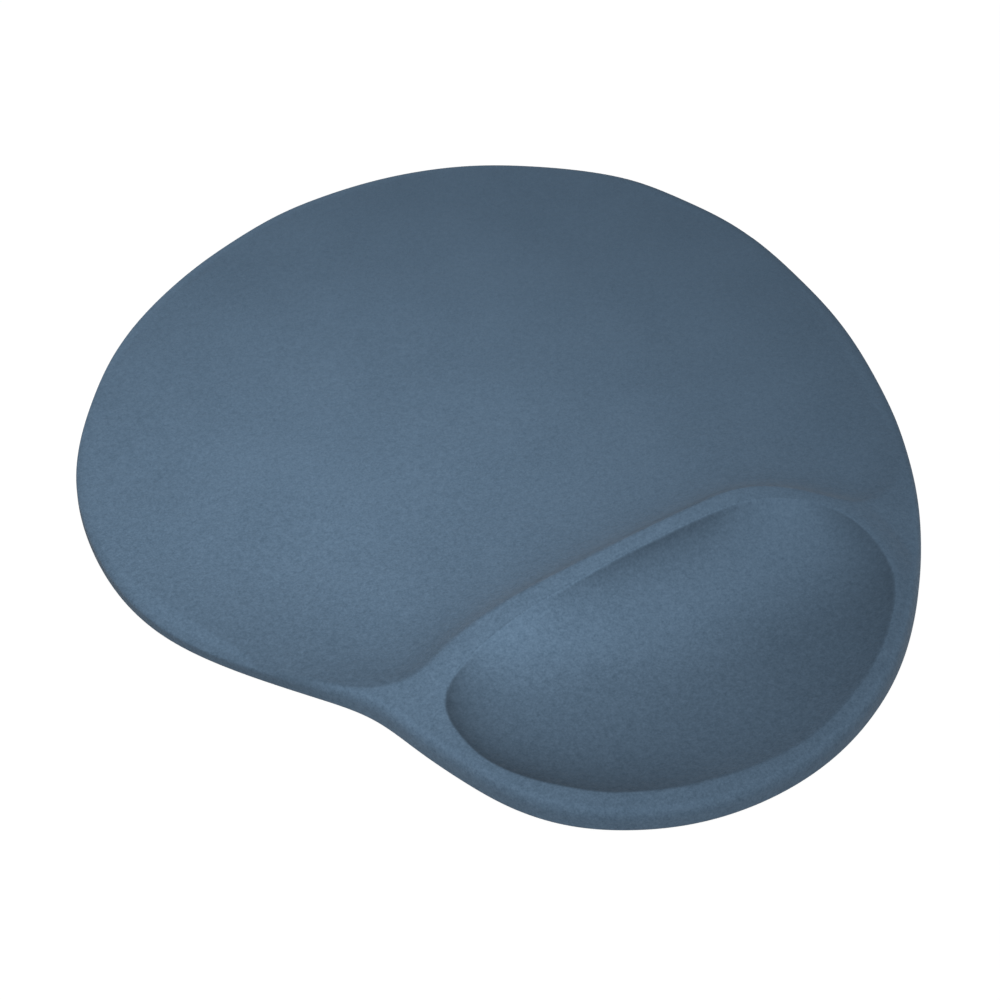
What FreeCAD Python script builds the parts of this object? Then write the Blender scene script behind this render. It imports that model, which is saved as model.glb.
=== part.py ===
import FreeCAD, Part
import math
import os
import Sketcher  # registers the sketch type used by the padded bodies

# Soft one-piece mouse pad with a raised gel wrist rest at the user's side.
# Millimetres. +Z up, +X to the user's right, +Y away from the user.
# Origin: centre of the plan bounding box, on the underside.
# The top is one height function over the plan. Nested skins offset from it bound the layers.

doc = FreeCAD.newDocument("wrist_rest")

# ---------------------------------------------------------------- dimensions
# alias, value, note
DIMENSIONS = [
    ("overall_width", 205.0, "plan width, left to right"),
    ("overall_depth", 236.0, "plan depth, heel to far edge"),
    ("overall_height", 16.0, "highest point of the rim"),
    ("pad_height", 5.0, "height of the flat mousing surface"),
    ("base_thick", 1.2, "antislip base sheet"),
    ("base_inset", 1.8, "base sheet edge inside the plan outline"),
    ("glue_thick", 0.2, "adhesive film over the base sheet"),
    ("cloth_thick", 0.8, "knitted cover"),
    ("film_thick", 0.2, "backing film of the cover, also the pouch film"),
    ("hem_width", 8.0, "cloth turned under the foam"),
    ("hem_round", 0.8, "round of the turned-under edge"),
    ("pad_shoulder", 1.4, "plan width of the top round on the pad edge"),
    ("heel_shoulder", 2.4, "plan width of the round outside the rim"),
    ("pad_wall_top", 4.0, "top of the straight wall, pad edge"),
    ("heel_wall_top", 4.8, "top of the straight wall, heel"),
    ("ramp_steep", 4.0, "fall distance of the steep part of the ramp towards the pad"),
    ("ramp_toe", 12.5, "fall distance of the rest of the ramp"),
    ("lip_drop", 0.75, "lip of the dish below the crown of the rim"),
    ("pouch_inset", 2.5, "pouch contour inside the lip of the dish"),
    ("pouch_floor", 2.4, "underside of the pouch"),
    ("crest_round", 1.6, "rounding of the crest on the pad side"),
    ("lip_round", 0.45, "rounding of the lip of the dish"),
    ("window_overlap", 0.8, "hem window reaches this far above the hem"),
    ("skin_overlap", 0.4, "deep skins reach this far below the hem"),
]
sheet = doc.addObject("Spreadsheet::Sheet", "Dimensions")
sheet.set("A1", "dimension")
sheet.set("B1", "mm")
for line, (alias, value, note) in enumerate(DIMENSIONS, start=2):
    sheet.set("A%d" % line, alias)
    sheet.set("B%d" % line, str(value))
    sheet.setAlias("B%d" % line, alias)
    sheet.set("C%d" % line, note)
doc.recompute()


def dim(alias):
    return float(sheet.get(alias))


WIDTH = dim("overall_width")
DEPTH = dim("overall_depth")
PAD = dim("pad_height")
CLOTH = dim("cloth_thick")
FILM = dim("film_thick")
HEM_BOTTOM = dim("base_thick") + dim("glue_thick")
HEM_TOP = HEM_BOTTOM + CLOTH
DEEP_BOTTOM = HEM_BOTTOM - dim("skin_overlap")

# Sizes the tables below are given for. They are stretched to the sheet's sizes.
TABLE_WIDTH, TABLE_DEPTH, TABLE_HEIGHT, TABLE_PAD = 205.0, 236.0, 16.0, 5.0
SCALE_X = WIDTH / TABLE_WIDTH
SCALE_Y = DEPTH / TABLE_DEPTH
SCALE_RISE = (dim("overall_height") - PAD) / (TABLE_HEIGHT - TABLE_PAD)

# ---------------------------------------------------------------- plan tables
# plan outline, (x / width, y / depth), counter-clockwise
OUTLINE = [
    (0.4013, -0.2412), (0.4324, -0.1866), (0.4582, -0.1299), (0.4773, -0.0713),
    (0.4918, -0.0117), (0.4993, 0.0489), (0.4993, 0.1098), (0.4946, 0.1706),
    (0.4801, 0.2301), (0.4538, 0.2866), (0.4205, 0.3401), (0.3734, 0.3851),
    (0.3185, 0.4229), (0.2590, 0.4552), (0.1943, 0.4786), (0.1263, 0.4931),
    (0.0567, 0.4994), (-0.0134, 0.4981), (-0.0823, 0.4868), (-0.1496, 0.4699),
    (-0.2145, 0.4467), (-0.2759, 0.4174), (-0.3317, 0.3806), (-0.3809, 0.3372),
    (-0.4251, 0.2900), (-0.4612, 0.2378), (-0.4851, 0.1806), (-0.4978, 0.1207),
    (-0.4988, 0.0599), (-0.4848, 0.0003), (-0.4554, -0.0550), (-0.4176, -0.1063),
    (-0.3766, -0.1557), (-0.3391, -0.2072), (-0.3184, -0.2652), (-0.2974, -0.3234),
    (-0.2696, -0.3792), (-0.2273, -0.4276), (-0.1709, -0.4636), (-0.1068, -0.4879),
    (-0.0380, -0.4991), (0.0320, -0.4978), (0.1004, -0.4847), (0.1648, -0.4607),
    (0.2238, -0.4280), (0.2762, -0.3875), (0.3228, -0.3421), (0.3645, -0.2930),
]
# lip of the dish (inner edge of the rim), (x, y), clockwise
LIP = [
    (50, -47.7), (55.0, -50.6), (59.2, -55.3), (61.4, -61.9), (61.6, -69.4),
    (59.3, -78.9), (52.4, -88.9), (41.4, -98.6), (29.7, -105.4), (18.6, -110.1),
    (6.1, -112.6), (-10.9, -111.7), (-25.6, -107.7), (-37.3, -101.4),
    (-44.4, -95.4), (-50.1, -89.1), (-54.2, -82.9), (-56.7, -76.3),
    (-57.4, -69.7), (-57.0, -63.2), (-55.1, -58.3), (-51.7, -54.6),
    (-46.0, -51.6), (-38, -48.9), (-27.1, -46.9), (-14.1, -45.6), (0.9, -44.6),
    (14, -43.9), (27, -43.5), (38, -43.9), (44.6, -45.3),
]
# crest of the rim on the pad side, (x, y), left to right; beyond it the rim runs down to the pad
CREST = [
    (-150, 20), (-104, 8), (-97.6, -5), (-92.6, -15), (-86.3, -25),
    (-79.5, -34), (-74, -40), (-69, -44.8), (-64, -47.4), (-58.8, -48.6),
    (-53, -47.8), (-46, -45.4), (-38, -43.6), (-27, -42.4), (-14, -41.8),
    (0, -41.3), (14, -40.8), (28, -40.2), (38, -40.2), (46, -42.2),
    (52, -45.5), (58, -50), (63, -54), (68, -55.8), (74, -55.4), (80, -52),
    (86, -46), (92, -36), (97.5, -22), (101.5, -5), (107, 15), (150, 60),
]
# height of the rim top over the plan, (x, y, z)
RIM = [
    (-97, -5, 5.0), (-88, -22, 5.3), (-78, -36, 6.6), (-68, -47, 8.4),
    (-57, -53, 9.8), (-42, -47, 12.0), (-20, -45, 14.5), (0, -44, 15.75),
    (20, -43, 16.15), (38, -42, 15.35), (52, -46, 13.2), (63, -56, 10.8),
    (80, -48, 7.6), (90, -38, 5.4), (97, -15, 5.0), (72, -72, 9.0),
    (45, -102, 9.0), (0, -117, 9.0), (-35, -108, 9.0), (-57, -85, 9.0),
]
# foot of the dish wall just inside the lip, then the bowl inside it, (x, y, z)
BOWL = [
    (0, -113, 4.9), (29, -106, 5.0), (52, -89.6, 5.3), (61.3, -70, 6.2),
    (59.2, -55.5, 7.8), (50, -48.2, 9.8), (38, -44.7, 11.2), (20, -44.5, 11.4),
    (0, -45.4, 11.0), (-20, -47, 10.6), (-38, -49.2, 9.4), (-51, -54.9, 8.2),
    (-56.9, -70, 6.6), (-53.9, -83, 5.8), (-44.7, -96, 5.3), (-26, -108.4, 5.0),
    (0, -95, 5.0), (30, -90, 5.1), (-25, -92, 5.3), (0, -80, 5.9),
    (35, -78, 6.0), (-35, -78, 6.7), (0, -70, 7.0), (35, -68, 7.1),
    (-30, -68, 8.0), (0, -58, 9.0), (30, -57, 9.2), (-25, -57, 10.0),
    (50, -64, 7.2), (-45, -66, 8.0),
]
# softness of the dish wall round the lip, (x, y, distance)
WALL = [
    (-20, -47, 5.0), (-5, -46, 3.4), (20, -45, 3.0), (38, -46, 3.4), (52, -52, 4.5),
    (62, -66, 6.0), (52, -88, 7.0), (25, -107, 7.0), (0, -113, 7.0),
    (-30, -106, 7.0), (-50, -90, 6.5), (-57, -72, 6.0), (-52, -56, 5.0),
    (-35, -49, 5.0),
]
# share of the rim that drops steeply on the pad side, (x, y, share)
STEEP = [
    (-100, 0, 0.0), (-70, -42, 0.1), (-56, -45, 0.3), (-40, -40, 0.45), (-15, -36, 0.58),
    (20, -34, 0.6), (40, -34, 0.6), (58, -44, 0.55), (75, -48, 0.5), (95, -20, 0.3),
]
# fall of the rim top from the lip outwards, (x, y, slope)
CANT = [
    (0, -42, 0.0), (25, -41, 0.0), (-30, -44, 0.0), (45, -43, 0.0), (-52, -48, 0.0),
    (63, -54, 0.1), (80, -48, 0.1), (-70, -45, 0.05), (70, -68, 0.35), (58, -88, 0.45),
    (30, -110, 0.45), (0, -117, 0.45), (-30, -110, 0.45), (-50, -96, 0.45),
    (-60, -75, 0.35), (-64, -60, 0.15), (90, -30, 0.0), (-90, -15, 0.0),
]


# --------------------------------------------------------------- plan curves
def vec(x, y, z=0.0):
    return FreeCAD.Vector(float(x), float(y), float(z))


def spline(points, closed):
    curve = Part.BSplineCurve()
    vectors = [vec(x, y) for x, y in points]
    if closed:
        curve.interpolate(Points=vectors, PeriodicFlag=True)
    else:
        curve.interpolate(Points=vectors)
    return curve


def stretch(points):
    return [(x * SCALE_X, y * SCALE_Y) for x, y in points]


def fit_outline(points):
    """Closed curve through points, centred and stretched to the sheet's width and depth."""
    samples = spline(points, closed=True).discretize(Number=721)
    xs = [p.x for p in samples]
    ys = [p.y for p in samples]
    stretch_x = WIDTH / (max(xs) - min(xs))
    stretch_y = DEPTH / (max(ys) - min(ys))
    mid_x = (max(xs) + min(xs)) / 2.0
    mid_y = (max(ys) + min(ys)) / 2.0
    fitted = [((x - mid_x) * stretch_x, (y - mid_y) * stretch_y) for x, y in points]
    return spline(fitted, closed=True)


def inset(curve, dist, count):
    """Points of a closed counter-clockwise curve moved inwards."""
    points = []
    for k in range(count):
        u = curve.FirstParameter + (curve.LastParameter - curve.FirstParameter) * k / count
        p = curve.value(u)
        tangent = curve.tangent(u)[0]
        points.append((p.x - tangent.y * dist, p.y + tangent.x * dist))
    return points


def polyline(curve, count=260):
    return [(p.x, p.y) for p in curve.discretize(Number=count)]


FAR = 250.0    # well beyond the plan, closes the region on the pad side of the crest

outline = fit_outline([(x * WIDTH, y * DEPTH) for x, y in OUTLINE])
lip_ccw = spline(stretch(reversed(LIP)), closed=True)
lip_line = polyline(spline(stretch(LIP), closed=True))
crest_line = polyline(spline(stretch(CREST), closed=False))
pad_side = crest_line + [(FAR, FAR), (-FAR, FAR)]


def inside(x, y, polygon):
    """True if the point has an odd number of polygon edges to its right."""
    result = False
    x0, y0 = polygon[-1]
    for x1, y1 in polygon:
        if (y1 > y) != (y0 > y) and x < (x0 - x1) * (y - y1) / (y0 - y1) + x1:
            result = not result
        x0, y0 = x1, y1
    return result


def distance(x, y, line):
    """Shortest distance from a point to a polyline."""
    best = 1.0e18
    x0, y0 = line[0]
    for x1, y1 in line[1:]:
        dx, dy = x1 - x0, y1 - y0
        square = dx * dx + dy * dy
        if square > 0.0:
            t = min(1.0, max(0.0, ((x - x0) * dx + (y - y0) * dy) / square))
            gap_x, gap_y = x0 + t * dx - x, y0 + t * dy - y
            best = min(best, gap_x * gap_x + gap_y * gap_y)
        x0, y0 = x1, y1
    return math.sqrt(best)


# ------------------------------------------------------- scattered-data fit
PLATE_UNIT = 100.0    # plan length that counts as one in the fit


def solve(matrix):
    """Gaussian elimination with row pivots; the last column is the right-hand side."""
    size = len(matrix)
    for c in range(size):
        pivot = max(range(c, size), key=lambda r: abs(matrix[r][c]))
        matrix[c], matrix[pivot] = matrix[pivot], matrix[c]
        for r in range(c + 1, size):
            ratio = matrix[r][c] / matrix[c][c]
            if ratio:
                for k in range(c, size + 1):
                    matrix[r][k] -= ratio * matrix[c][k]
    result = [0.0] * size
    for r in range(size - 1, -1, -1):
        known = sum(matrix[r][k] * result[k] for k in range(r + 1, size))
        result[r] = (matrix[r][size] - known) / matrix[r][r]
    return result


def thin_plate(data, smoothing=0.0005):
    """Smooth function over the plan through scattered (x, y, value)."""
    count = len(data)
    sites = stretch([(x, y) for x, y, _ in data])

    def kernel(dx, dy):
        square = (dx * dx + dy * dy) / PLATE_UNIT ** 2
        return 0.5 * square * math.log(square + 1e-12)

    size = count + 3
    matrix = [[0.0] * (size + 1) for _ in range(size)]
    for i, (x, y) in enumerate(sites):
        for j, (x1, y1) in enumerate(sites):
            matrix[i][j] = kernel(x - x1, y - y1)
        matrix[i][i] += smoothing
        for k, term in enumerate((1.0, x / PLATE_UNIT, y / PLATE_UNIT)):
            matrix[i][count + k] = term
            matrix[count + k][i] = term
        matrix[i][size] = float(data[i][2])
    weights = solve(matrix)

    def value(x, y):
        total = (weights[count] + weights[count + 1] * x / PLATE_UNIT
                 + weights[count + 2] * y / PLATE_UNIT)
        for weight, (x1, y1) in zip(weights, sites):
            total += weight * kernel(x - x1, y - y1)
        return total

    return value


rim_at = thin_plate(RIM)
wall_at = thin_plate(WALL)
bowl_at = thin_plate(BOWL, smoothing=0.0008)
cant_at = thin_plate(CANT)
steep_at = thin_plate(STEEP, smoothing=0.001)

# -------------------------------------------------------------- top surface
RAMP_STEEP = dim("ramp_steep")
RAMP_TOE = dim("ramp_toe")
LIP_DROP = dim("lip_drop")
CREST_ROUND = dim("crest_round")
LIP_ROUND = dim("lip_round")
FLAT_RISE = 0.002       # a rim rise below this counts as flat pad
FULL_RISE = 3.5         # rim rise at which lip drop and cant act fully
WALL_MIN = 0.9          # least softness of the dish wall
LIP_FADE = 2.2          # fall distance of the lip drop on the rim
CANT_MAX = 0.5
CANT_REACH = 7.0        # the cant stops this far from the lip
CANT_ROUND = 1.5        # rounding where the cant starts
STEEP_MAX = 0.85
FADE_START = 28.0       # the ramp is faded out from here beyond the crest,
FADE_SPAN = 24.0        # over this distance


def ease(t):
    """Smooth step from 0 to 1."""
    t = min(1.0, max(0.0, t))
    return t * t * (3.0 - 2.0 * t)


def soften(dist, radius):
    """Distance with its start rounded over about the radius."""
    return math.sqrt(dist * dist + radius * radius) - radius


def rim_height(x, y):
    return PAD + max(0.0, rim_at(x, y) - TABLE_PAD) * SCALE_RISE


def dish_height(x, y, rim, lip_dist):
    """The wall falls from the lip to the bowl."""
    bowl_rise = (bowl_at(x, y) - TABLE_PAD) * SCALE_RISE
    fall = 1.0 - math.exp(-soften(lip_dist, LIP_ROUND) / max(WALL_MIN, wall_at(x, y)))
    return rim - (rim - PAD - bowl_rise) * fall


def ramp_height(x, y, rim):
    """Beyond the crest the rim runs down to the pad, first steeply, then in a long toe."""
    dist = distance(x, y, crest_line)
    run = soften(dist, CREST_ROUND)
    steep = min(STEEP_MAX, max(0.0, steep_at(x, y)))
    fall = steep * math.exp(-run / RAMP_STEEP) + (1.0 - steep) * math.exp(-run / RAMP_TOE)
    return PAD + (rim - PAD) * fall * (1.0 - ease((dist - FADE_START) / FADE_SPAN))


def top_height(x, y):
    """Height of the outer surface inside the shoulder."""
    rim = rim_height(x, y)
    if rim - PAD < FLAT_RISE:
        return PAD
    share = ease((rim - PAD) / FULL_RISE)
    lip_dist = distance(x, y, lip_line)
    if inside(x, y, lip_line):
        return dish_height(x, y, rim - share * LIP_DROP, lip_dist)
    # the rim is crowned: a little lower at the lip, canted down towards the outside
    cant = min(CANT_MAX, max(0.0, cant_at(x, y)))
    rim -= share * (LIP_DROP * math.exp(-lip_dist / LIP_FADE)
                    + cant * soften(min(lip_dist, CANT_REACH), CANT_ROUND))
    if inside(x, y, pad_side):
        return ramp_height(x, y, rim)
    return rim


# ---------------------------------------------------- stations and top grid
STATION_COUNT = 150
HUB_X, HUB_Y = 0.0, 22.0 * SCALE_Y    # all radial rows run towards this point
HUB_SCALE = 0.10                      # size of the flat disc left round it
HEEL_RISE = 0.3                       # rim rise where the edge starts to change to the heel's,
HEEL_SPAN = 4.2                       # and the further rise until it has changed fully


class Station:
    """A place on the outline with its inward normal and its edge profile."""

    def __init__(self, point):
        self.x, self.y = point.x, point.y
        tangent = outline.tangent(outline.parameter(point))[0]
        self.normal_x, self.normal_y = -tangent.y, tangent.x
        heel = ease((rim_height(self.x, self.y) - PAD - HEEL_RISE) / HEEL_SPAN)
        self.shoulder = self.blend("pad_shoulder", "heel_shoulder", heel)
        self.wall_top = self.blend("pad_wall_top", "heel_wall_top", heel)
        self.inner = self.inward(self.shoulder, 0.0)
        self.shoulder_top = top_height(self.inner.x, self.inner.y)

    def blend(self, pad_alias, heel_alias, heel):
        return dim(pad_alias) + (dim(heel_alias) - dim(pad_alias)) * heel

    def inward(self, dist, z):
        return vec(self.x + self.normal_x * dist, self.y + self.normal_y * dist, z)


def radial_scales():
    """Radial steps: fine over the rim and dish, coarser towards the hub."""
    result = []
    scale = 1.0
    step = 0.006
    while scale > HUB_SCALE + 0.02:
        scale -= step
        result.append(scale)
        if scale > 0.30:
            step = min(step * 1.12, 0.0105)
        else:
            step = min(step * 1.15, 0.05)
    result[-1] = HUB_SCALE
    return result


def faired_height(grid, r, i):
    """Binomial mean of a grid height and its eight neighbours."""
    total = 0.0
    for dr, row_weight in ((-1, 1.0), (0, 2.0), (1, 1.0)):
        for di, weight in ((-1, 1.0), (0, 2.0), (1, 1.0)):
            total += row_weight * weight * grid[r + dr][(i + di) % STATION_COUNT].z
    return total / 16.0


def top_grid():
    """Points of the top surface, rows from the shoulder to the hub."""
    raw = []
    for scale in radial_scales():
        row = []
        for station in stations:
            x = HUB_X + (station.inner.x - HUB_X) * scale
            y = HUB_Y + (station.inner.y - HUB_Y) * scale
            row.append(vec(x, y, top_height(x, y)))
        raw.append(row)
    # one binomial pass takes the grid's own ripple off the crest and the lip;
    # the first three rows stay as they are, the last two lie flat on the pad
    result = []
    for r, row in enumerate(raw):
        if r >= len(raw) - 2:
            result.append([vec(p.x, p.y, PAD) for p in row])
        elif r > 2:
            result.append([vec(p.x, p.y, faired_height(raw, r, i)) for i, p in enumerate(row)])
        else:
            result.append(row)
    return result


def slope_factors(grid):
    """Vertical thickness per unit of layer thickness, for layers of even thickness."""
    last = len(grid) - 1
    raw = []
    for r in range(len(grid)):
        before, after = grid[max(0, r - 1)], grid[min(last, r + 1)]
        row = []
        for i in range(STATION_COUNT):
            along = after[i] - before[i]
            across = grid[r][(i + 1) % STATION_COUNT] - grid[r][(i - 1) % STATION_COUNT]
            normal = along.cross(across)
            row.append(min(2.2, max(1.0, normal.Length / max(1e-9, abs(normal.z)))))
        raw.append(row)
    # one pass of smoothing along the radius keeps the layers fair
    result = []
    for r, row in enumerate(raw):
        before, after = raw[max(0, r - 1)], raw[min(last, r + 1)]
        result.append([max(row[i], (before[i] + 2 * row[i] + after[i]) / 4.0)
                       for i in range(STATION_COUNT)])
    result[-2:] = [[1.0] * STATION_COUNT, [1.0] * STATION_COUNT]
    return result


stations = [Station(p) for p in outline.discretize(Number=STATION_COUNT + 1)[:STATION_COUNT]]
grid = top_grid()
factors = slope_factors(grid)

# ------------------------------------------------------------ nested skins
WALL_SHARES = [0.3, 0.6, 0.85, 1.0]                      # control rows up the straight wall
SHOULDER_ANGLES = [12.0, 25.0, 40.0, 56.0, 73.0, 90.0]   # control rows round the shoulder
# control rows of the lower round, (inset, height) as shares of its radius
HEM_ROWS = [(1.0, 0.0), (0.55, 0.0), (0.2, 0.2), (0.0, 0.55), (0.0, 1.0)]


def skin_rows(depth, bottom, rounded):
    """Control rows of the skin lying `depth` inside the outer surface, bottom to hub."""
    rows = []
    wall_start = bottom
    if rounded:
        radius = dim("hem_round")
        for inset_share, rise_share in HEM_ROWS:
            rows.append([s.inward(depth + radius * inset_share, bottom + radius * rise_share)
                         for s in stations])
        wall_start = bottom + radius
    else:
        rows.append([s.inward(depth, bottom) for s in stations])
    for share in WALL_SHARES:
        rows.append([s.inward(depth, wall_start + (s.wall_top - wall_start) * share)
                     for s in stations])
    for degrees in SHOULDER_ANGLES:
        angle = math.radians(degrees)
        rows.append([s.inward(depth + (s.shoulder - depth) * (1.0 - math.cos(angle)),
                              s.wall_top + (s.shoulder_top - depth - s.wall_top) * math.sin(angle))
                     for s in stations])
    for points, row_factors in zip(grid, factors):
        rows.append([vec(p.x, p.y, p.z - depth * factor)
                     for p, factor in zip(points, row_factors)])
    return rows


def skin_surface(rows):
    """Bicubic surface, periodic round the outline and clamped from bottom to hub."""
    poles = []
    for i in range(STATION_COUNT):
        line = []
        for row in rows:
            before, here, after = row[i - 1], row[i], row[(i + 1) % STATION_COUNT]
            # plan positions corrected so that the curve meets the stations themselves
            line.append(vec((8.0 * here.x - before.x - after.x) / 6.0,
                            (8.0 * here.y - before.y - after.y) / 6.0, here.z))
        poles.append(line)
    mults = [4] + [1] * (len(rows) - 4) + [4]
    surface = Part.BSplineSurface()
    surface.buildFromPolesMultsKnots(
        poles, [1] * (STATION_COUNT + 1), mults,
        [float(k) for k in range(STATION_COUNT + 1)], [float(k) for k in range(len(mults))],
        True, False, 3, 3)
    return surface


def is_level_ring(edge):
    heights = [p.z for p in edge.discretize(Number=5)]
    return max(heights) - min(heights) < 1e-6 and edge.isClosed()


def add_skin(name, depth, bottom, rounded=False):
    """Closed solid under one skin: side and top surface, hub disc, flat floor."""
    side = skin_surface(skin_rows(depth, bottom, rounded)).toShape()
    caps = [Part.Face(Part.Wire([edge])) for edge in side.Edges if is_level_ring(edge)]
    shell = Part.Shell([side] + caps)
    solid = Part.Solid(shell)
    # the faces may not share their edges yet
    if not solid.isValid():
        shell.sewShape()
        solid = Part.Solid(shell)
    if solid.Volume < 0:
        solid.reverse()
    skin = doc.addObject("Part::Feature", name)
    skin.Shape = solid
    return skin


outer = add_skin("outer_skin", 0.0, HEM_BOTTOM, rounded=True)
under_cloth = add_skin("under_cloth_skin", CLOTH, HEM_TOP)
under_film_deep = add_skin("under_film_skin_deep", CLOTH + FILM, DEEP_BOTTOM)
under_film = add_skin("under_film_skin", CLOTH + FILM, HEM_TOP)
gel_top_skin = add_skin("gel_top_skin", CLOTH + 2.0 * FILM, DEEP_BOTTOM)


# ------------------------------------------------- plan-shaped padded bodies
def plan_body(name, points, bottom, height):
    """Body with a closed spline outline on XY, padded upwards.

    `bottom` and `height` are expressions in millimetres.
    """
    body = doc.addObject("PartDesign::Body", name)
    sketch = body.newObject("Sketcher::SketchObject", name + "_outline")
    plane = [f for f in body.Origin.OriginFeatures if f.Role == "XY_Plane"][0]
    sketch.AttachmentSupport = [(plane, "")]
    sketch.MapMode = "FlatFace"
    sketch.addGeometry(spline(points, closed=True), False)
    pad = body.newObject("PartDesign::Pad", name + "_pad")
    pad.Profile = sketch
    pad.setExpression("Length", height)
    body.Tip = pad
    body.setExpression("Placement.Base.z", bottom)
    doc.recompute()
    return body


OUTLINE_POINTS = 60    # points of each contour inset from the outline
POUCH_POINTS = 44      # points of each contour inset from the lip

base_points = inset(outline, dim("base_inset"), OUTLINE_POINTS)
window_points = inset(outline, CLOTH + dim("hem_width"), OUTLINE_POINTS)
pouch_points = inset(lip_ccw, dim("pouch_inset"), POUCH_POINTS)
gel_points = inset(lip_ccw, dim("pouch_inset") + FILM, POUCH_POINTS)

antislip_base = plan_body("antislip_base", base_points,
                          "0 mm", "Dimensions.base_thick * 1 mm")
base_film = plan_body("base_adhesive_film", base_points,
                      "Dimensions.base_thick * 1 mm", "Dimensions.glue_thick * 1 mm")
# opening inside the hem, filled by the foam
window = plan_body("hem_window", window_points,
                   "(Dimensions.base_thick + Dimensions.glue_thick) * 1 mm",
                   "(Dimensions.cloth_thick + Dimensions.window_overlap) * 1 mm")
# columns reach above the top surface and are trimmed by the skins
pouch_column = plan_body("pouch_column", pouch_points,
                         "Dimensions.pouch_floor * 1 mm", "Dimensions.overall_height * 1 mm")
gel_column = plan_body("gel_column", gel_points,
                       "(Dimensions.pouch_floor + Dimensions.film_thick) * 1 mm",
                       "Dimensions.overall_height * 1 mm")


# -------------------------------------------------------------------- layers
def cut(name, base, tool):
    result = doc.addObject("Part::Cut", name)
    result.Base = base
    result.Tool = tool
    doc.recompute()
    return result


def combine(kind, name, shapes):
    result = doc.addObject(kind, name)
    result.Shapes = shapes
    doc.recompute()
    return result


# knitted cover with its edge turned under the foam
cloth_core = combine("Part::MultiFuse", "cloth_core", [under_cloth, window])
cover_cloth = cut("cover_cloth", outer, cloth_core)

# film laminated to the back of the knit
cover_film = cut("cover_backing_film", under_cloth, under_film_deep)

# foam body with the pocket for the pouch
foam_blank = combine("Part::MultiFuse", "foam_blank", [under_film, window])
foam = cut("foam_body", foam_blank, pouch_column)

# gel and its pouch
pouch_space = combine("Part::MultiCommon", "pouch_space", [pouch_column, under_film_deep])
pouch_top = cut("gel_pouch_top_film", pouch_space, gel_top_skin)
gel = combine("Part::MultiCommon", "gel_fill", [gel_column, gel_top_skin])
pouch_lower = combine("Part::MultiCommon", "pouch_lower", [pouch_column, gel_top_skin])
pouch_bottom = cut("gel_pouch_bottom_film", pouch_lower, gel_column)

# ------------------------------------------------------------------- export
PIECES = [cover_cloth, cover_film, foam, pouch_top, gel, pouch_bottom, base_film, antislip_base]

doc.recompute()
for obj in doc.Objects:
    for state in obj.State:
        if state in ("Invalid", "Error"):
            raise RuntimeError("object %s is %s" % (obj.Name, state))
for piece in PIECES:
    shape = piece.Shape
    if shape.isNull() or not shape.isValid() or shape.Volume <= 0:
        raise RuntimeError("bad shape in %s" % piece.Label)
    if len(shape.Solids) != 1:
        raise RuntimeError("%s has %d solids" % (piece.Label, len(shape.Solids)))

os.makedirs("parts", exist_ok=True)
for piece in PIECES:
    piece.Shape.exportStep("parts/" + piece.Label + ".step")
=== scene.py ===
"""One-piece mouse pad with a raised gel wrist rest: knit cover and dotted grip sheet.

The pad lies flat with its width along x and its depth along y. The heel, a raised rim
round a dish, is at the -y end; the flat pad is at the +y end. Sizes are in millimetres
in the CAD frame unless said otherwise, and meshes are written in metres.
"""
import math
import bpy
import numpy as np
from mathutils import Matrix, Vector


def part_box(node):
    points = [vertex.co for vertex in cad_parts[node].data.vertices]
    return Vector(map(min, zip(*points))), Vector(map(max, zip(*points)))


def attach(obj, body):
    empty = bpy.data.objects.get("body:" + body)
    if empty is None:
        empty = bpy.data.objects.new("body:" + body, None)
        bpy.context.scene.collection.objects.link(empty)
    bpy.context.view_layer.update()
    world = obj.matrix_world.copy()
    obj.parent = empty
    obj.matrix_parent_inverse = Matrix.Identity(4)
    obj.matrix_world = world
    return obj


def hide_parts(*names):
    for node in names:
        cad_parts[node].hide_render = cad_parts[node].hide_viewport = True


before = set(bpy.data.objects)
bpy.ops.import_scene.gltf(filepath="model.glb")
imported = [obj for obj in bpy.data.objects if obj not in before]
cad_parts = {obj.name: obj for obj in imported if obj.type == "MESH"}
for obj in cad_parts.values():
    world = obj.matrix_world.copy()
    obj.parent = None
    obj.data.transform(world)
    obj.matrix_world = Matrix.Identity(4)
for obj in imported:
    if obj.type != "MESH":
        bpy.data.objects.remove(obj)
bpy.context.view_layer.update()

MM = 0.001                                   # metres in a millimetre

# ------------------------------------------------------------------ dimensions
cover_lo, cover_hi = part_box("cover_cloth")
_, base_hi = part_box("antislip_base")
WIDTH = (cover_hi.x - cover_lo.x) * 1000.0
DEPTH = (cover_hi.y - cover_lo.y) * 1000.0
CENTRE = np.array([(cover_hi.x + cover_lo.x) * 500.0, (cover_hi.y + cover_lo.y) * 500.0])
COVER_BOTTOM = cover_lo.z * 1000.0
BASE_THICK = base_hi.z * 1000.0
# the tables below are for a pad 205 wide and 236 deep
SCALE = np.array([WIDTH / 205.0, DEPTH / 236.0])

PAD = 5.0                                    # height of the flat pad
CLOTH = 0.8                                  # thickness of the cover
HEM = 8.0                                    # width of the cover turned in underneath
HEM_ROW = 3.2                                # inset of the mesh row across the hem
INNER_WALL_ROW = 3.2                         # height of the mesh row on the inner wall
BOTTOM_ROUND = 0.8                           # radius of the bottom edge
SHOULDER_FLAT, SHOULDER_HEEL = 1.4, 2.4      # plan width of the rounded top edge
WALL_FLAT, WALL_HEEL = 4.0, 4.8              # height where the side wall ends
RIM_END = 45.0 * SCALE[1]                    # the rim has died away beyond this y

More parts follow.
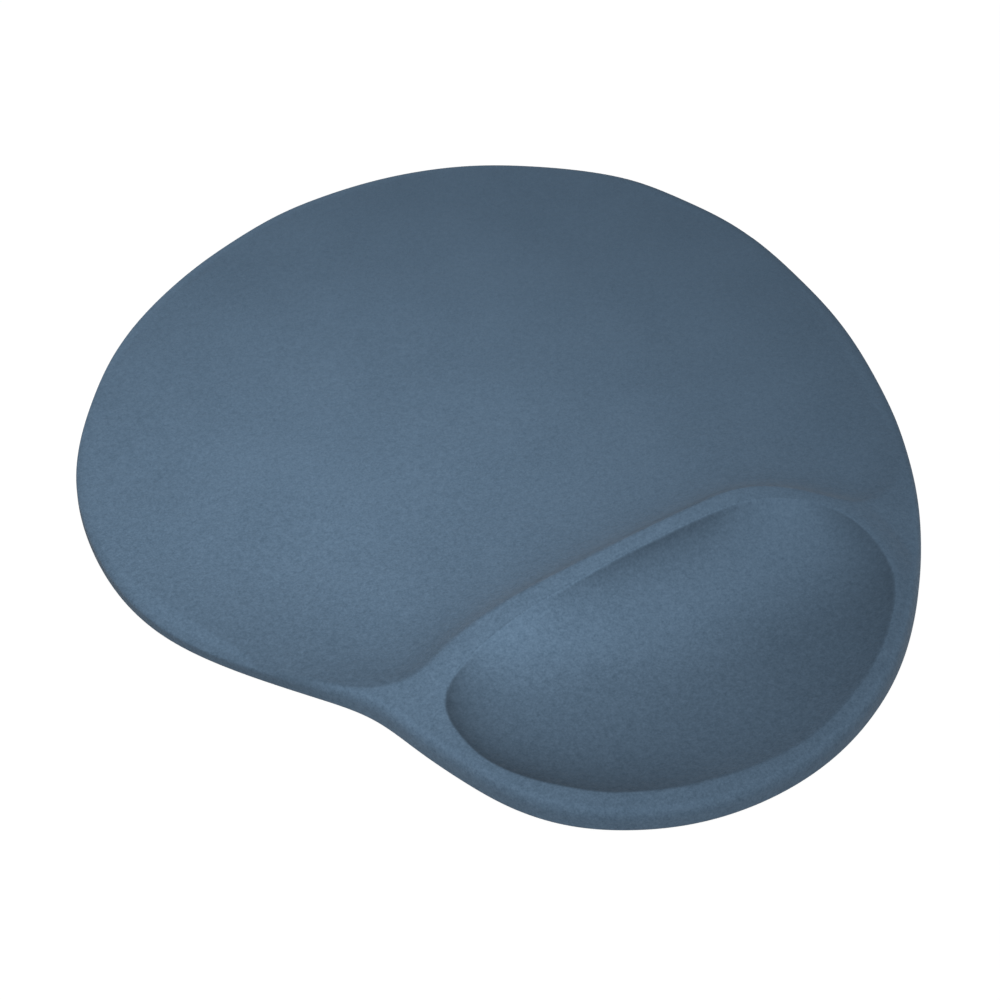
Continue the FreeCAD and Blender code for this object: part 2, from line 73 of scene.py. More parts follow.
LIP_DROP, LIP_ROUND = 0.75, 2.2              # dip of the rim at the lip, and its reach
RIM_GROWTH = 3.5                             # rise over which dip and cant come in
CANT_REACH, CANT_SOFT = 7.0, 1.5             # width of the canted band, soft start
RAMP_STEEP, RAMP_TOE, RAMP_SOFT = 4.0, 12.5, 1.6  # fall lengths, soft start
RAMP_END, RAMP_FADE = 28, 24                 # where the ramp starts to die, over what
DISH_SOFT = 0.45                             # soft start of the dish wall

# mesh of the cover
STATIONS = 576
OUTER_ROWS = 124
OUTER_END = 0.46                             # share of the way out where those rows end
HUB = np.array([0.0, 22.0 * SCALE[1]])       # point the rows close in on
# (share of the way from the hub to the edge, points)
INNER_FACE_ROWS = [
    (0.03, 36), (0.06, 36), (0.1, 72), (0.16, 72), (0.22, 144), (0.3, 144), (0.38, 288), (0.44, 288),
] + [(share, 288) for share in np.linspace(0.47, 1.0, 40)[:-1]]
HUB_ROWS = [
    (0.45, 576), (0.43, 288), (0.40, 288), (0.36, 288), (0.32, 288), (0.28, 144), (0.24, 144),
    (0.20, 144), (0.16, 72), (0.12, 72), (0.08, 36), (0.04, 36),
]

# grip sheet
BASE_INSET = 1.8                             # from the outline
DOT_PITCH, DOT_RADIUS, DOT_HEIGHT = 4.2, 1.5, 0.34
GRID_PER_PITCH = 5                           # mesh cells from dot to dot
RIM_BOTTOM, RIM_BEVEL_TOP = 0.44, 0.60       # heights of the bevel round the sheet

# ---------------------------------------------------------------------- tables
# outline of the pad, counter-clockwise: (x, y) as shares of width and depth
OUTLINE = [
    (0.4013, -0.2412), (0.4324, -0.1866), (0.4582, -0.1299), (0.4773, -0.0713),
    (0.4918, -0.0117), (0.4993, 0.0489), (0.4993, 0.1098), (0.4946, 0.1706),
    (0.4801, 0.2301), (0.4538, 0.2866), (0.4205, 0.3401), (0.3734, 0.3851),
    (0.3185, 0.4229), (0.2590, 0.4552), (0.1943, 0.4786), (0.1263, 0.4931),
    (0.0567, 0.4994), (-0.0134, 0.4981), (-0.0823, 0.4868), (-0.1496, 0.4699),
    (-0.2145, 0.4467), (-0.2759, 0.4174), (-0.3317, 0.3806), (-0.3809, 0.3372),
    (-0.4251, 0.2900), (-0.4612, 0.2378), (-0.4851, 0.1806), (-0.4978, 0.1207),
    (-0.4988, 0.0599), (-0.4848, 0.0003), (-0.4554, -0.0550), (-0.4176, -0.1063),
    (-0.3766, -0.1557), (-0.3391, -0.2072), (-0.3184, -0.2652), (-0.2974, -0.3234),
    (-0.2696, -0.3792), (-0.2273, -0.4276), (-0.1709, -0.4636), (-0.1068, -0.4879),
    (-0.0380, -0.4991), (0.0320, -0.4978), (0.1004, -0.4847), (0.1648, -0.4607),
    (0.2238, -0.4280), (0.2762, -0.3875), (0.3228, -0.3421), (0.3645, -0.2930),
]
# closed lip of the dish: (x, y)
LIP = [
    (50, -47.7), (55.0, -50.6), (59.2, -55.3), (61.4, -61.9), (61.6, -69.4),
    (59.3, -78.9), (52.4, -88.9), (41.4, -98.6), (29.7, -105.4), (18.6, -110.1),
    (6.1, -112.6), (-10.9, -111.7), (-25.6, -107.7), (-37.3, -101.4),
    (-44.4, -95.4), (-50.1, -89.1), (-54.2, -82.9), (-56.7, -76.3),
    (-57.4, -69.7), (-57.0, -63.2), (-55.1, -58.3), (-51.7, -54.6),
    (-46.0, -51.6), (-38, -48.9), (-27.1, -46.9), (-14.1, -45.6), (0.9, -44.6),
    (14, -43.9), (27, -43.5), (38, -43.9), (44.6, -45.3),
]
# crest between the rim and its ramp down to the pad, from -x to +x: (x, y)
CREST = [
    (-150, 20), (-104, 8), (-97.6, -5), (-92.6, -15), (-86.3, -25),
    (-79.5, -34), (-74, -40), (-69, -44.8), (-64, -47.4), (-58.8, -48.6),
    (-53, -47.8), (-46, -45.4), (-38, -43.6), (-27, -42.4), (-14, -41.8),
    (0, -41.3), (14, -40.8), (28, -40.2), (38, -40.2), (46, -42.2),
    (52, -45.5), (58, -50), (63, -54), (68, -55.8), (74, -55.4), (80, -52),
    (86, -46), (92, -36), (97.5, -22), (101.5, -5), (107, 15), (150, 60),
]
# height of the rim: (x, y, z)
RIM = [
    (-97, -5, 5.0), (-88, -22, 5.3), (-78, -36, 6.6), (-68, -47, 8.4),
    (-57, -53, 9.8), (-42, -47, 12.0), (-20, -45, 14.5), (0, -44, 15.75),
    (20, -43, 16.15), (38, -42, 15.35), (52, -46, 13.2), (63, -56, 10.8),
    (80, -48, 7.6), (90, -38, 5.4), (97, -15, 5.0), (72, -72, 9.0),
    (45, -102, 9.0), (0, -117, 9.0), (-35, -108, 9.0), (-57, -85, 9.0),
]
# foot of the dish wall just inside the lip, then the bowl inside it: (x, y, z)
BOWL = [
    (0, -113, 4.9), (29, -106, 5.0), (52, -89.6, 5.3), (61.3, -70, 6.2),
    (59.2, -55.5, 7.8), (50, -48.2, 9.8), (38, -44.7, 11.2), (20, -44.5, 11.4),
    (0, -45.4, 11.0), (-20, -47, 10.6), (-38, -49.2, 9.4), (-51, -54.9, 8.2),
    (-56.9, -70, 6.6), (-53.9, -83, 5.8), (-44.7, -96, 5.3), (-26, -108.4, 5.0),
    (0, -95, 5.0), (30, -90, 5.1), (-25, -92, 5.3), (0, -80, 5.9),
    (35, -78, 6.0), (-35, -78, 6.7), (0, -70, 7.0), (35, -68, 7.1),
    (-30, -68, 8.0), (0, -58, 9.0), (30, -57, 9.2), (-25, -57, 10.0),
    (50, -64, 7.2), (-45, -66, 8.0),
]
# softness of the wall round the lip: (x, y, distance)
WALL = [
    (-20, -47, 5.0), (-5, -46, 3.4), (20, -45, 3.0), (38, -46, 3.4), (52, -52, 4.5),
    (62, -66, 6.0), (52, -88, 7.0), (25, -107, 7.0), (0, -113, 7.0),
    (-30, -106, 7.0), (-50, -90, 6.5), (-57, -72, 6.0), (-52, -56, 5.0),
    (-35, -49, 5.0),
]
# share of the rim that drops steeply on the pad side: (x, y, share)
STEEP = [
    (-100, 0, 0.0), (-70, -42, 0.1), (-56, -45, 0.3), (-40, -40, 0.45), (-15, -36, 0.58),
    (20, -34, 0.6), (40, -34, 0.6), (58, -44, 0.55), (75, -48, 0.5), (95, -20, 0.3),
]
# fall of the rim from the lip outwards: (x, y, slope)
CANT = [
    (0, -42, 0.0), (25, -41, 0.0), (-30, -44, 0.0), (45, -43, 0.0), (-52, -48, 0.0),
    (63, -54, 0.1), (80, -48, 0.1), (-70, -45, 0.05), (70, -68, 0.35), (58, -88, 0.45),
    (30, -110, 0.45), (0, -117, 0.45), (-30, -110, 0.45), (-50, -96, 0.45),
    (-60, -75, 0.35), (-64, -60, 0.15), (90, -30, 0.0), (-90, -15, 0.0),
]
# painted shade just inside the lip of the dish: (x, y, amount)
LIP_SHADE = [
    (-20, -47, 0.14), (-5, -46, 0.42), (10, -45, 0.52), (27, -45, 0.50), (40, -46, 0.12),
    (50, -50, 0.0), (60, -58, 0.40), (61, -70, 0.30), (55, -86, 0.18), (29, -105, 0.08),
    (0, -112, 0.08), (-26, -107, 0.32), (-44, -95, 0.48), (-54, -82, 0.56),
    (-57, -70, 0.56), (-52, -55, 0.52), (-36, -49, 0.0),
]
# how far in from the lip that painted shade reaches: (x, y, distance)
REACH = [
    (0, -46, 6.5), (30, -45, 7.0), (60, -58, 13.0), (60, -75, 20.0), (29, -105, 24.0),
    (-10, -111, 24.0), (-44, -95, 19.0), (-56, -70, 13.0), (-50, -55, 7.5), (-25, -47, 6.0),
]
# unevenness of the moulded surface: (wavelength, waves, amplitude)
SWELL_BANDS = ((55.0, 8, 0.05), (30.0, 10, 0.03), (17.0, 12, 0.012))


# ---------------------------------------------------------------------- curves
def closed_steps(loop):
    return np.sqrt(((np.roll(loop, -1, 0) - loop) ** 2).sum(1))


def running(steps):
    return np.r_[0, np.cumsum(steps)]


def along_closed(at, distance, loop):
    """Rows of a loop interpolated at given running distances."""
    rows = np.vstack([loop, loop[:1]])
    return np.c_[np.interp(at, distance, rows[:, 0]), np.interp(at, distance, rows[:, 1])]


def cubic_curve(points, count, closed):
    """Cubic spline through points, periodic when closed and natural when open."""
    points = np.asarray(points, float)
    size = len(points)
    steps = closed_steps(points)
    knots = running(steps if closed else steps[:-1])
    spans = np.diff(knots)
    system = np.zeros((size, size))
    right = np.zeros((size, 2))
    if not closed:
        system[0, 0] = system[-1, -1] = 1
    for i in range(size) if closed else range(1, size - 1):
        j = (i + 1) % size
        before, after = spans[i - 1], spans[i]
        system[i, i - 1] = before
        system[i, i] = 2 * (before + after)
        system[i, j] = after
        right[i] = 6 * ((points[j] - points[i]) / after - (points[i] - points[i - 1]) / before)
    bend = np.linalg.solve(system, right)
    at = np.linspace(0, knots[-1], count, endpoint=not closed)
    i = np.clip(np.searchsorted(knots, at, side="right") - 1, 0, len(spans) - 1)
    j = (i + 1) % size
    ahead, behind = (knots[i + 1] - at)[:, None], (at - knots[i])[:, None]
    span = spans[i][:, None]
    return (bend[i] * ahead ** 3 + bend[j] * behind ** 3) / (6 * span) \
        + (points[i] / span - bend[i] * span / 6) * ahead \
        + (points[j] / span - bend[j] * span / 6) * behind


def closed_curve(points):
    return cubic_curve(points, 6000, closed=True)


def even_closed_curve(points, count):
    """Closed spline resampled evenly along its length."""
    curve = closed_curve(points)
    distance = running(closed_steps(curve))
    return along_closed(np.linspace(0, distance[-1], count, endpoint=False), distance, curve)


def in_chunks(measure, points, chunk=4000):
    """Apply measure(x column, y column) to the points, a part at a time to save memory."""
    return np.concatenate([measure(points[s:s + chunk, 0][:, None], points[s:s + chunk, 1][:, None])
                           for s in range(0, len(points), chunk)])


def segment_distance(points, line, closed=True):
    start = line if closed else line[:-1]
    side = (np.roll(line, -1, 0) if closed else line[1:]) - start
    length2 = np.maximum((side ** 2).sum(1), 1e-12)

    def nearest(x, y):
        t = np.clip(((x - start[:, 0]) * side[:, 0] + (y - start[:, 1]) * side[:, 1]) / length2, 0, 1)
        dx = start[:, 0] + side[:, 0] * t - x
        dy = start[:, 1] + side[:, 1] * t - y
        return np.sqrt((dx * dx + dy * dy).min(1))

    return in_chunks(nearest, points)


def inside(points, loop):
    """Even-odd test of points against a closed loop."""
    x0, y0 = loop[:, 0], loop[:, 1]
    x1, y1 = np.roll(x0, -1), np.roll(y0, -1)
    rise = np.where(y1 == y0, 1e-12, y1 - y0)

    def odd(x, y):
        crossed = ((y0 > y) != (y1 > y)) & (x < (x1 - x0) * (y - y0) / rise + x0)
        return (crossed.sum(1) % 2) == 1

    return in_chunks(odd, points)


# ---------------------------------------------------------------------- fields
class ThinPlate:
    """Smooth field over the plan through a table of (x, y, value)."""

    def __init__(self, table, smoothing=0.0005):
        table = np.array(table, float)
        self.centres = table[:, :2] * SCALE
        size = len(table)
        system = np.zeros((size + 3, size + 3))
        system[:size, :size] = self.kernel(self.centres) + smoothing * np.eye(size)
        system[:size, size] = 1
        system[:size, size + 1:] = self.centres / 100
        system[size:, :size] = system[:size, size:].T
        self.weights = np.linalg.solve(system, np.r_[table[:, 2], 0, 0, 0])

    def kernel(self, points):
        r2 = ((points[:, None, :] - self.centres[None]) ** 2).sum(2) / 1e4
        return 0.5 * r2 * np.log(r2 + 1e-12)

    def __call__(self, points):
        weights = self.weights
        return self.kernel(points) @ weights[:-3] + weights[-3] + (points / 100) @ weights[-2:]


def ramp(value, length, start=0.0):
    """Eased rise from 0 at start to 1 a length further on."""
    t = np.clip((value - start) / length, 0, 1)
    return t * t * (3 - 2 * t)


def soft(distance, radius):
    """Distance with its start rounded over about radius."""
    return np.sqrt(distance * distance + radius * radius) - radius


plan = np.array(OUTLINE) * [WIDTH, DEPTH]
rough_outline = closed_curve(plan)
plan_hi, plan_lo = rough_outline.max(0), rough_outline.min(0)
plan = (plan - (plan_hi + plan_lo) / 2) * (np.array([WIDTH, DEPTH]) / (plan_hi - plan_lo)) + CENTRE
outline = even_closed_curve(plan, 4000)
lip = even_closed_curve(np.array(LIP) * SCALE, 400)
crest = cubic_curve(np.array(CREST) * SCALE, 500, closed=False)
pad_region = np.vstack([crest, [(250, 250), (-250, 250)]])
rim_field = ThinPlate(RIM)
bowl_field = ThinPlate(BOWL, smoothing=0.0008)
wall_field = ThinPlate(WALL)
cant_field = ThinPlate(CANT)
steep_field = ThinPlate(STEEP, smoothing=0.001)


def make_swell():
    """Random plane waves: (x frequency, y frequency, phase, amplitude)."""
    rng = np.random.default_rng(7)
    waves = []
    for band, count, amplitude in SWELL_BANDS:
        for _ in range(count):
            angle = rng.uniform(0, 2 * math.pi)
            wavelength = band * rng.uniform(0.8, 1.25)
            waves.append((math.cos(angle) * 2 * math.pi / wavelength,
                          math.sin(angle) * 2 * math.pi / wavelength,
                          rng.uniform(0, 2 * math.pi), amplitude))
    return waves


SWELL = make_swell()


def swell(points):
    """Slow unevenness of the moulded surface."""
    z = np.zeros(len(points))
    for freq_x, freq_y, phase, amplitude in SWELL:
        z += amplitude * np.sin(freq_x * points[:, 0] + freq_y * points[:, 1] + phase)
    return z


def rim_height(points):
    return PAD + np.maximum(0.0, rim_field(points) - PAD)


def heel_share(points):
    """0 along the flat pad, 1 round the heel."""
    return ramp(rim_height(points) - PAD, start=0.3, length=4.2)


def top_height(points):
    """Height of the outer surface inside the shoulder."""
    z = np.full(len(points), PAD)
    near = points[:, 1] < RIM_END
    P = points[near]
    rim = rim_height(P)
    dish = inside(P, lip)
    outer = ~dish
    from_lip = segment_distance(P, lip)
    # the rim is crowned: a little lower at the lip, canted down towards the outside
    share = ramp(rim - PAD, length=RIM_GROWTH)
    cant = np.clip(cant_field(P[outer]), 0, 0.5)
    rim[outer] -= share[outer] * (
        LIP_DROP * np.exp(-from_lip[outer] / LIP_ROUND)
        + cant * soft(np.minimum(from_lip[outer], CANT_REACH), CANT_SOFT))
    rim[dish] -= share[dish] * LIP_DROP
    surface = rim.copy()
    # ramp down to the pad, part steep and part long
    pad_side = inside(P, pad_region)
    from_crest = segment_distance(P[pad_side], crest, closed=False)
    fall = soft(from_crest, RAMP_SOFT)
    steep = np.clip(steep_field(P[pad_side]), 0.0, 0.85)
    surface[pad_side] = PAD + (rim[pad_side] - PAD) \
        * (steep * np.exp(-fall / RAMP_STEEP) + (1 - steep) * np.exp(-fall / RAMP_TOE)) \
        * (1 - ramp(from_crest, start=RAMP_END, length=RAMP_FADE))
    # wall and bowl of the dish
    sink = 1 - np.exp(-soft(from_lip[dish], DISH_SOFT) / np.maximum(wall_field(P[dish]), 0.9))
    surface[dish] = rim[dish] - (rim[dish] - bowl_field(P[dish])) * sink
    z[near] = surface
    return z


# ------------------------------------------------------------------ mesh tools
def ring_faces(a0, count_a, b0, count_b):
    """Faces between ring a (first index a0) and the next ring b."""
    faces = []
    for i in range(min(count_a, count_b)):
        j = (i + 1) % min(count_a, count_b)
        if count_a == count_b:
            faces.append((a0 + i, a0 + j, b0 + j, b0 + i))
        elif count_a == 2 * count_b:
            p, q, r = a0 + 2 * i, a0 + 2 * i + 1, a0 + (2 * i + 2) % count_a
            faces += [(p, q, b0 + i), (q, b0 + j, b0 + i), (q, r, b0 + j)]
        elif count_b == 2 * count_a:
            p, q, r = b0 + 2 * i, b0 + 2 * i + 1, b0 + (2 * i + 2) % count_b
            faces += [(a0 + i, q, p), (a0 + i, a0 + j, q), (a0 + j, r, q)]
        else:
            raise ValueError("neighbouring rings must match or differ by a factor of two")
    return faces


def tube(rings, start, end):
    """Closed surface through a list of rings, with a centre point at each end."""
    counts = [len(ring) for ring in rings]
    firsts = [0] + [int(total) for total in np.cumsum(counts)]
    centre = firsts.pop()
    points = np.vstack(rings + [np.array([start]), np.array([end])])
    faces = []
    for k in range(len(rings) - 1):
        faces += ring_faces(firsts[k], counts[k], firsts[k + 1], counts[k + 1])
    count = counts[0]
    faces += [((i + 1) % count, i, centre) for i in range(count)]
    first, count = firsts[-1], counts[-1]
    faces += [(first + i, first + (i + 1) % count, centre + 1) for i in range(count)]
    return points, faces


def make_object(name, points, faces):
    mesh = bpy.data.meshes.new(name)
    mesh.from_pydata((points * MM).tolist(), [], faces)
    mesh.update()
    mesh.polygons.foreach_set("use_smooth", [True] * len(mesh.polygons))
    obj = bpy.data.objects.new(name, mesh)
    bpy.context.scene.collection.objects.link(obj)
    return obj


def unit_rows(vectors):
    return vectors / np.linalg.norm(vectors, axis=1)[:, None]


def inward(tangents):
    """Left of the tangent, which is inwards on a counter-clockwise outline."""
    return np.c_[-tangents[:, 1], tangents[:, 0]]


# ----------------------------------------------------------------------- cover
outline_tangent = unit_rows(
    np.gradient(np.vstack([outline[-1:], outline, outline[:1]]), axis=0)[1:-1])

# outline stations: close together round the heel, wider round the flat pad
mid_y = (outline[:, 1] + np.roll(outline, -1, 0)[:, 1]) / 2
density = 0.62 + 1.1 * ramp(-mid_y, start=-5.0, length=55.0)
station_run = running(closed_steps(outline) * density)
station_at = np.linspace(0, station_run[-1], STATIONS, endpoint=False)
station_xy = along_closed(station_at, station_run, outline)
station_in = inward(unit_rows(along_closed(station_at, station_run, outline_tangent)))

station_heel = heel_share(station_xy)
shoulder = SHOULDER_FLAT + (SHOULDER_HEEL - SHOULDER_FLAT) * station_heel
wall_top = WALL_FLAT + (WALL_HEEL - WALL_FLAT) * station_heel
edge_xy = station_xy + station_in * shoulder[:, None]
edge_top = top_height(edge_xy)


def flat_ring(inset, z):
    return np.c_[station_xy + station_in * inset, np.broadcast_to(z, (STATIONS,))]


def shoulder_ring(degrees, depth=0.0):
    """Ring on the rounded top edge: 0 degrees at the wall, 90 at the top."""
    angle = math.radians(degrees)
    inset = depth + (shoulder - depth) * (1 - math.cos(angle))
    top = edge_top - depth
    return np.c_[station_xy + station_in * inset[:, None],
                 wall_top + (top - wall_top) * math.sin(angle)]


def top_ring(share, count, depth=0.0):
    """Ring at a share of the way from the hub to the edge, on or depth below the surface."""
    skip = STATIONS // count
    share = np.broadcast_to(share, (STATIONS,))[::skip]
    points = HUB + (edge_xy[::skip] - HUB) * share[:, None]
    z = top_height(points)
    if depth == 0.0:
        return np.c_[points, z + swell(points) * ramp(1.0 - share, length=0.02)]
    # thickness measured square to the surface
    probe = 0.4
    slope_x, slope_y = [(top_height(points + step) - top_height(points - step)) / (2 * probe)
                        for step in ([probe, 0], [0, probe])]
    return np.c_[points, z - depth * np.minimum(2.0, np.sqrt(1 + slope_x ** 2 + slope_y ** 2))]


def radial_steps():
    """Shares of the rows from the edge inwards for each station, closer at lip and crest."""
    grid = np.linspace(1.0, OUTER_END, 200)
    half = edge_xy[::2]
    points = (HUB + (half - HUB)[None] * grid[:, None, None]).reshape(-1, 2)
    distance = np.full(len(points), 99.0)
    near = points[:, 1] < 0.0
    heel = points[near]
    # the crest stops counting where the rim has sunk into the pad
    from_crest = segment_distance(heel, crest[::2], closed=False) \
        + 30.0 * (1 - ramp(rim_height(heel), start=5.3, length=1.5))
    distance[near] = np.minimum(segment_distance(heel, lip[::2]), from_crest)
    weight = (1.0 + 2.2 * np.exp(-(distance / 2.0) ** 2)).reshape(len(grid), -1)
    weight[:4] *= 1.6
    total = np.vstack([np.zeros((1, weight.shape[1])),
                       np.cumsum((weight[1:] + weight[:-1]) / 2, axis=0)])
    total /= total[-1]
    rows = np.linspace(0, 1, OUTER_ROWS)
    shares = np.stack([np.interp(rows, column, grid) for column in total.T], axis=1)
    for _ in range(3):
        shares = (shares * 2 + np.roll(shares, 1, 1) + np.roll(shares, -1, 1)) / 4
    full = np.empty((OUTER_ROWS, STATIONS))
    full[:, ::2] = shares
    full[:, 1::2] = (shares + np.roll(shares, -1, 1)) / 2
    return full


def make_cover():
    # inner face, from the middle outwards and down
    rings = [top_ring(share, count, CLOTH) for share, count in INNER_FACE_ROWS]
    rings += [shoulder_ring(degrees, CLOTH)[::2] for degrees in (90, 66, 42, 18)]
    rings += [flat_ring(CLOTH, z)[::2] for z in (INNER_WALL_ROW, COVER_BOTTOM + CLOTH)]
    rings.append(flat_ring(CLOTH + HEM, COVER_BOTTOM + CLOTH)[::2])
    # hem edge and underside
    rings.append(flat_ring(CLOTH + HEM, COVER_BOTTOM)[::2])
    rings.append(flat_ring(HEM_ROW, COVER_BOTTOM)[::2])
    rings.append(flat_ring(CLOTH + 0.6, COVER_BOTTOM))
    # round the bottom edge, up the wall and over the shoulder
    for part in (0, 0.25, 0.5, 0.75, 1.0):
        angle = part * math.pi / 2
        rings.append(flat_ring(BOTTOM_ROUND * (1 - math.sin(angle)),
                               COVER_BOTTOM + BOTTOM_ROUND * (1 - math.cos(angle))))
    for part in (0.4, 0.8):
        rise = (wall_top - COVER_BOTTOM - BOTTOM_ROUND) * part
        rings.append(flat_ring(0.0, COVER_BOTTOM + BOTTOM_ROUND + rise))
    rings += [shoulder_ring(degrees) for degrees in np.linspace(0, 90, 12)]
    # outer face, in to the middle
    rings += [top_ring(share, STATIONS) for share in radial_steps()[1:]]
    rings += [top_ring(share, count) for share, count in HUB_ROWS]
    start = [HUB[0], HUB[1], PAD - CLOTH]
    end = [HUB[0], HUB[1], float(rings[-1][:, 2].mean())]
    return make_object("knit_cover", *tube(rings, start, end))


cover = make_cover()


# ------------------------------------------------------------------ grip sheet
def sheet_grid(edge, rim):
    """Triangular grid inside rim: points in plan and counter-clockwise triangles."""
    cell = DOT_PITCH / GRID_PER_PITCH
    columns = np.arange(-170, 171)
    rows = np.arange(-170, 171)
    row_y = rows * cell * math.sqrt(3) / 2
    kept = (row_y >= edge[:, 1].min() - cell) & (row_y <= edge[:, 1].max() + cell)
    rows, row_y = rows[kept], row_y[kept]
    grid_x = (columns + 0.5 * (rows % 2)[:, None]) * cell
    points = np.c_[grid_x.ravel(), np.repeat(row_y, len(columns))]
    triangles = []
    for k in range(len(rows) - 1):
        a = k * len(columns) + np.arange(len(columns) - 1)
        b = a + len(columns)
        if rows[k] % 2 == 0:
            triangles += [np.c_[a, a + 1, b], np.c_[a + 1, b + 1, b]]
        else:
            triangles += [np.c_[a, a + 1, b + 1], np.c_[a, b + 1, b]]
    triangles = np.vstack(triangles)
    triangles = triangles[inside(points[triangles].mean(1), rim)]
    # drop triangles that hang on by less than two shared edges, until the rim is clean
    for _ in range(6):
        edges = np.sort(directed_edges(triangles), axis=1)
        key = edges[:, 0].astype(np.int64) * 1000000 + edges[:, 1]
        _, inverse, counts = np.unique(key, return_inverse=True, return_counts=True)
        good = (counts[inverse] == 2).reshape(3, -1).sum(0) >= 2
        if good.all():
            break
        triangles = triangles[good]
    used = np.unique(triangles)
    return points[used], np.searchsorted(used, triangles)


def directed_edges(triangles):
    return np.vstack([triangles[:, [0, 1]], triangles[:, [1, 2]], triangles[:, [2, 0]]])


def boundary_loop(triangles):
    """Indices round the boundary, counter-clockwise."""
    edges = {(int(a), int(b)) for a, b in directed_edges(triangles)}
    following = {a: b for a, b in edges if (b, a) not in edges}
    loop = [min(following)]
    while following[loop[-1]] != loop[0]:
        loop.append(following[loop[-1]])
    return np.array(loop)


def slide_to_edge(points, loop, edge):
    """Places on the edge for the boundary points, evened out in the order they come."""
    distance = running(closed_steps(edge))
    total = distance[-1]
    at = distance[[int(((edge - points[i]) ** 2).sum(1).argmin()) for i in loop]]
    at = np.unwrap(at / total * 2 * math.pi) / (2 * math.pi) * total
    for _ in range(30):
        before = np.r_[at[-1] - total, at[:-1]]
        after = np.r_[at[1:], at[0] + total]
        at = 0.5 * at + 0.25 * (before + after)
    return along_closed(np.mod(at, total), distance, edge)


def dot_distance(points):
    """Distance to the nearest dot centre on the staggered pattern."""
    row_pitch = DOT_PITCH * math.sqrt(3) / 2
    nearest_row = np.round(points[:, 1] / row_pitch)
    best = np.full(len(points), 1e9)
    for row_step in (-1, 0, 1):
        row = nearest_row + row_step
        offset = np.where(np.mod(row, 2) == 0, 0.0, 0.5) * DOT_PITCH
        column = np.round((points[:, 0] - offset) / DOT_PITCH)
        for column_step in (-1, 0, 1):
            dx = points[:, 0] - (column + column_step) * DOT_PITCH - offset
            dy = points[:, 1] - row * row_pitch
            best = np.minimum(best, np.hypot(dx, dy))
    return best


def make_base():
    """Base sheet with rows of low round grip dots on its underside."""
    edge = outline + inward(outline_tangent) * BASE_INSET
    rim = edge[::8]
    points, triangles = sheet_grid(edge, rim)
    loop = boundary_loop(triangles)
    points[loop] = slide_to_edge(points, loop, edge)
    dot = np.clip(1 - (dot_distance(points) / DOT_RADIUS) ** 2, 0, 1) ** 0.8 \
        * ramp(segment_distance(points, rim), start=1.2, length=0.8)
    z = DOT_HEIGHT - DOT_HEIGHT * dot
    z[loop] = RIM_BOTTOM
    first, count = len(points), len(loop)
    side = points[loop]
    vertices = np.vstack([np.c_[points, z], np.c_[side, np.full(count, RIM_BEVEL_TOP)],
                          np.c_[side, np.full(count, BASE_THICK)]])
    faces = [(int(a), int(c), int(b)) for a, b, c in triangles]
    low = [int(i) for i in loop]
    middle = list(range(first, first + count))
    high = list(range(first + count, first + 2 * count))
    for i in range(count):
        j = (i + 1) % count
        faces.append((low[i], low[j], middle[j], middle[i]))
        faces.append((middle[i], middle[j], high[j], high[i]))
    faces.append(tuple(high))
    return make_object("grip_base_sheet", vertices, faces)


base = make_base()


# ------------------------------------------------------------------- materials
class Graph:
    """Short calls for building one node tree; a value may be a number or a socket."""

    def __init__(self, tree, output_kind):
        self.tree = tree
        tree.nodes.clear()
        self.output = self.add(output_kind)

    def add(self, kind, inputs=None, **settings):
        node = self.tree.nodes.new(kind)
        for name, value in settings.items():
            setattr(node, name, value)
        for socket, value in (inputs or {}).items():
            if isinstance(value, bpy.types.NodeSocket):
                self.tree.links.new(value, node.inputs[socket])
            else:
                node.inputs[socket].default_value = value
        return node

    def surface(self, shader):
        self.tree.links.new(shader.outputs[0], self.output.inputs["Surface"])

    def math(self, operation, *values, clamp=False):
        return self.add("ShaderNodeMath", dict(enumerate(values)),
                        operation=operation, use_clamp=clamp).outputs[0]

    def plus(self, a, b, clamp=False):
        return self.math("ADD", a, b, clamp=clamp)

    def minus(self, a, b):
        return self.math("SUBTRACT", a, b)

    def times(self, a, b, clamp=False):
        return self.math("MULTIPLY", a, b, clamp=clamp)

    def scaled(self, vector, factor):
        return self.add("ShaderNodeVectorMath", {0: vector, "Scale": factor},
                        operation="SCALE").outputs[0]

    def split(self, vector):
        return self.add("ShaderNodeSeparateXYZ", {0: vector}).outputs

    def mm_coords(self):
        """Object coordinates in millimetres."""
        return self.scaled(self.add("ShaderNodeTexCoord").outputs["Object"], 1000.0)

    def noise(self, vector, scale, detail=2.0, rough=0.5):
        return self.add("ShaderNodeTexNoise", {
            "Scale": scale, "Detail": detail, "Roughness": rough, "Vector": vector,
        }).outputs["Fac"]

    def mix_colour(self, factor, a, b):
        # sockets 6 and 7 are the colours A and B
        return self.add("ShaderNodeMix", {0: factor, 6: a, 7: b}, data_type="RGBA").outputs[2]

    def bump(self, height, strength, distance):
        return self.add("ShaderNodeBump", {
            "Strength": strength, "Distance": distance, "Height": height,
        }).outputs["Normal"]


def new_material(name):
    material = bpy.data.materials.new(name)
    material.use_nodes = True
    return material, Graph(material.node_tree, "ShaderNodeOutputMaterial")


